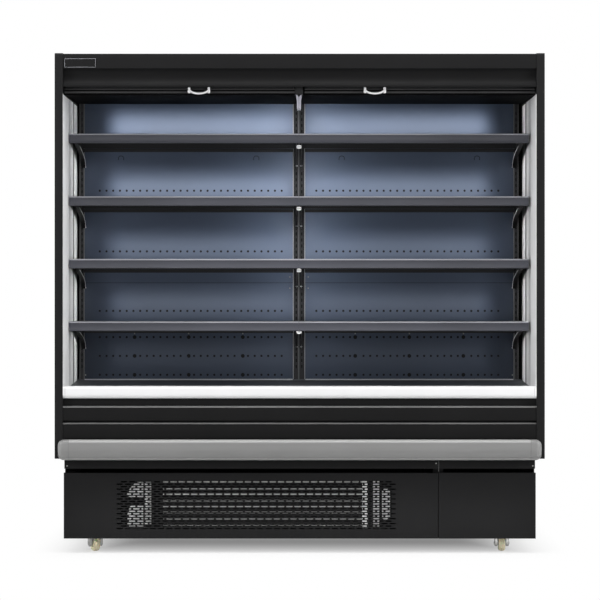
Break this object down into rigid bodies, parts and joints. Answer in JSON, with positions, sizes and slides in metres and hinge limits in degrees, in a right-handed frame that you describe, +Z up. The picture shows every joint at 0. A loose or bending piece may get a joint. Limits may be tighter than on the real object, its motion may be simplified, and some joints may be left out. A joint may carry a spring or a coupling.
{
  "type": "open multideck display fridge",
  "caption": "Tall open-front refrigerated display cabinet with shelves, pull-down night blinds, ventilated base and swivel casters.",
  "frame": {"origin": "on the floor under the middle of the whole, bumper included", "axes": "+X to the right seen from the front, +Y to the back, +Z up"},
  "size_m": [1.94, 0.79, 1.982],
  "materials": {
    "black_steel": "satin powder coat",
    "interior_steel": "satin blue-grey paint",
    "liner": "satin light grey",
    "white_plastic": "satin",
    "grey_bumper": "matt",
    "bare_aluminium": "mill",
    "zinc_steel": "zinc plated",
    "nylon_wheel": "cream nylon",
    "black_plastic": "matt",
    "blind_cloth": "woven blind cloth"
  },
  "bodies": {
    "root": {"end_panel_left": "black_steel", "end_panel_right": "black_steel", "side_liner_left": "liner", "side_liner_right": "liner", "cabinet_body": "black_steel", "canopy_fascia": "black_steel", "canopy_ceiling": "black_steel", "nose_rail": "white_plastic", "upper_front_panel": "black_steel", "lower_front_panel": "black_steel", "bumper": "grey_bumper", "upright_left": "black_steel", "upright_centre": "black_steel", "upright_right": "black_steel", "rear_panel_left": "interior_steel", "rear_panel_right": "interior_steel", "deck_pan": "black_steel", "return_grille": "black_steel", "blind_guide": "white_plastic", "base_frame": "black_steel", "grille_panel": "black_steel", "access_panel": "black_steel", "condenser_coil": "bare_aluminium", "compressor": "black_steel", "evaporator": "bare_aluminium", "shelf_left_1": "black_steel", "shelf_left_2": "black_steel", "shelf_left_3": "black_steel", "shelf_left_4": "black_steel", "shelf_right_1": "black_steel", "shelf_right_2": "black_steel", "shelf_right_3": "black_steel", "shelf_right_4": "black_steel", "bracket_left_1": "black_steel", "bracket_left_2": "black_steel", "bracket_left_3": "black_steel", "bracket_left_4": "black_steel", "bracket_right_1": "black_steel", "bracket_right_2": "black_steel", "bracket_right_3": "black_steel", "bracket_right_4": "black_steel", "bracket_pair_1": "black_steel", "bracket_pair_2": "black_steel", "bracket_pair_3": "black_steel", "bracket_pair_4": "black_steel"},
    "blind_left": {"blind_bar_left": "black_steel", "blind_curtain_left": "blind_cloth"},
    "blind_right": {"blind_bar_right": "black_steel", "blind_curtain_right": "blind_cloth"},
    "roller_left": {"blind_roller_left": "blind_cloth"},
    "roller_right": {"blind_roller_right": "blind_cloth"},
    "fan": {"condenser_fan": "black_plastic"},
    "fork_front_left": {"caster_fork_front_left": "zinc_steel"},
    "wheel_front_left": {"caster_wheel_front_left": "nylon_wheel"},
    "fork_front_right": {"caster_fork_front_right": "zinc_steel"},
    "wheel_front_right": {"caster_wheel_front_right": "nylon_wheel"},
    "fork_rear_left": {"caster_fork_rear_left": "zinc_steel"},
    "wheel_rear_left": {"caster_wheel_rear_left": "nylon_wheel"},
    "fork_rear_right": {"caster_fork_rear_right": "zinc_steel"},
    "wheel_rear_right": {"caster_wheel_rear_right": "nylon_wheel"}
  },
  "joints": [
    {"name": "blind_left_slide", "type": "slide", "parent": "root", "child": "blind_left", "axis": [0, 0, -1], "range_m": [0, 1.15], "stiffness_N_per_m": 12, "springref_m": -0.75, "deforming": ["blind_curtain_left"]},
    {"name": "roller_left_spin", "type": "hinge", "parent": "root", "child": "roller_left", "pos_m": [0, -0.2917, 1.882], "axis": [1, 0, 0], "range_deg": [0, 2260]},
    {"name": "blind_right_slide", "type": "slide", "parent": "root", "child": "blind_right", "axis": [0, 0, -1], "range_m": [0, 1.15], "stiffness_N_per_m": 12, "springref_m": -0.75, "deforming": ["blind_curtain_right"]},
    {"name": "roller_right_spin", "type": "hinge", "parent": "root", "child": "roller_right", "pos_m": [0, -0.2917, 1.882], "axis": [1, 0, 0], "range_deg": [0, 2260]},
    {"name": "swivel_front_left", "type": "hinge", "parent": "root", "child": "fork_front_left", "pos_m": [-0.808, -0.265, 0.09], "axis": [0, 0, 1], "continuous": true},
    {"name": "roll_front_left", "type": "hinge", "parent": "fork_front_left", "child": "wheel_front_left", "pos_m": [-0.81814, -0.24325, 0.0315], "axis": [0.9063, 0.4226, 0], "continuous": true},
    {"name": "swivel_front_right", "type": "hinge", "parent": "root", "child": "fork_front_right", "pos_m": [0.808, -0.265, 0.09], "axis": [0, 0, 1], "continuous": true},
    {"name": "roll_front_right", "type": "hinge", "parent": "fork_front_right", "child": "wheel_front_right", "pos_m": [0.808, -0.241, 0.0315], "axis": [1, 0, 0], "continuous": true},
    {"name": "swivel_rear_left", "type": "hinge", "parent": "root", "child": "fork_rear_left", "pos_m": [-0.808, 0.3, 0.09], "axis": [0, 0, 1], "continuous": true},
    {"name": "roll_rear_left", "type": "hinge", "parent": "fork_rear_left", "child": "wheel_rear_left", "pos_m": [-0.808, 0.324, 0.0315], "axis": [1, 0, 0], "continuous": true},
    {"name": "swivel_rear_right", "type": "hinge", "parent": "root", "child": "fork_rear_right", "pos_m": [0.808, 0.3, 0.09], "axis": [0, 0, 1], "continuous": true},
    {"name": "roll_rear_right", "type": "hinge", "parent": "fork_rear_right", "child": "wheel_rear_right", "pos_m": [0.808, 0.324, 0.0315], "axis": [1, 0, 0], "continuous": true},
    {"name": "fan_spin", "type": "hinge", "parent": "root", "child": "fan", "pos_m": [-0.15, -0.212, 0.193], "axis": [0, 1, 0], "continuous": true}
  ],
  "couplings": [
    {"joint": "roller_left_spin", "follows": "blind_left_slide", "rad_per_m": 33.333},
    {"joint": "roller_right_spin", "follows": "blind_right_slide", "rad_per_m": 33.333}
  ]
}
